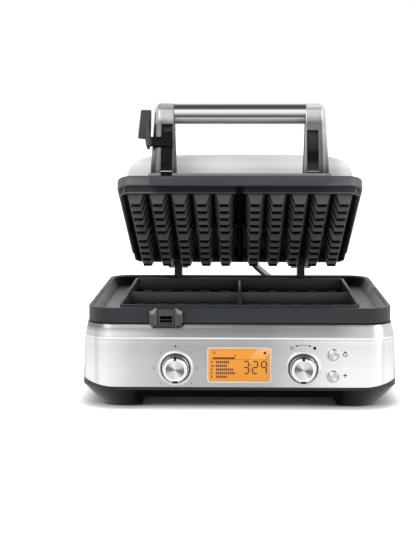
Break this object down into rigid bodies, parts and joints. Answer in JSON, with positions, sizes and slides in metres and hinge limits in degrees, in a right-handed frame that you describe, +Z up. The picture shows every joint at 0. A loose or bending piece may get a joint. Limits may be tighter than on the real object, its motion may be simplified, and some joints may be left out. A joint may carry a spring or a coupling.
{
  "type": "waffle maker",
  "caption": "Table-top electric waffle maker with a hinged lid, toothed plates for four square waffles, an overflow moat, a bar handle with a latch, two dials and a display.",
  "frame": {"origin": "on the table, under the middle of the whole appliance's outline", "axes": "+Z up, -Y out of the control panel, +X to the right as seen from the front"},
  "size_m": [0.389, 0.4558, 0.373],
  "materials": {
    "black_plastic": "moulded satin",
    "rubber": "matt",
    "steel": "brushed along its length",
    "cover_steel": "brushed",
    "cast_dark": "non-stick coated casting",
    "cast_black": "non-stick coated casting",
    "grey_plastic": "fine grained",
    "arm_metal": "satin",
    "tube_chrome": "polished",
    "satin_metal": "satin",
    "spun_metal": "spun",
    "zinc": "zinc plated",
    "element_steel": "heat darkened",
    "screen": "lit amber display",
    "board_green": "circuit board",
    "pale_plastic": "moulded",
    "conduit_metal": "interlocked armour"
  },
  "bodies": {
    "base": {"base_tray": "black_plastic", "rubber_feet": "rubber", "body_shell": "steel", "lower_plate": "cast_dark", "latch_catch": "grey_plastic", "lower_element": "element_steel", "lower_clamps": "zinc", "lower_shield": "satin_metal", "lower_thermostat": "pale_plastic", "display_frame": "satin_metal", "display_window": "screen", "display_module": "board_green", "control_board": "board_green", "menu_encoder": "zinc", "browning_encoder": "zinc", "dial_collars": "satin_metal", "button_collars": "satin_metal", "tact_switches": "black_plastic", "power_board": "board_green", "board_screws": "zinc", "terminal_block": "pale_plastic", "cord_grommet": "rubber", "base_screws": "zinc", "hinge_housing": "black_plastic", "hinge_posts": "cast_black", "hinge_pins": "zinc", "hinge_washers": "pale_plastic", "conduit": "conduit_metal", "base_gland": "cast_black"},
    "lid": {"lid_ring": "cast_dark", "lid_cover": "cover_steel", "upper_plate": "cast_black", "upper_element": "element_steel", "upper_clamps": "zinc", "upper_shield": "satin_metal", "upper_thermostat": "pale_plastic", "hinge_arms": "cast_black", "handle_bridge": "cast_dark", "handle_arm_left": "arm_metal", "handle_arm_right": "arm_metal", "handle_tube": "tube_chrome", "handle_rod": "zinc", "slot_lips": "satin_metal", "slot_insert": "black_plastic", "lid_screws": "zinc", "lid_gland": "cast_black"},
    "latch": {"latch_slider": "grey_plastic", "latch_tab": "grey_plastic"},
    "menu_knob": {"menu_dial": "spun_metal", "menu_pointer": "black_plastic"},
    "browning_knob": {"browning_dial": "spun_metal", "browning_pointer": "black_plastic"},
    "restart_key": {"restart_button": "spun_metal"},
    "more_key": {"more_button": "spun_metal"}
  },
  "joints": [
    {"name": "lid_hinge", "type": "hinge", "parent": "base", "child": "lid", "pos_m": [0, 0.1939, 0.1473], "axis": [-1, 0, 0], "range_deg": [-22.43, 72], "deforming": ["conduit"]},
    {"name": "latch_slide", "type": "slide", "parent": "lid", "child": "latch", "axis": [0, 0.3816, 0.9243], "range_m": [-0.026, 0.008]},
    {"name": "menu_turn", "type": "hinge", "parent": "base", "child": "menu_knob", "pos_m": [-0.078, -0.2109, 0.0507], "axis": [0, -1, 0], "continuous": true},
    {"name": "browning_turn", "type": "hinge", "parent": "base", "child": "browning_knob", "pos_m": [0.078, -0.2109, 0.0507], "axis": [0, -1, 0], "range_deg": [-140, 140]},
    {"name": "restart_press", "type": "slide", "parent": "base", "child": "restart_key", "axis": [0, 1, 0], "range_m": [0, 0.0012], "stiffness_N_per_m": 600},
    {"name": "more_press", "type": "slide", "parent": "base", "child": "more_key", "axis": [0, 1, 0], "range_m": [0, 0.0012], "stiffness_N_per_m": 600}
  ]
}
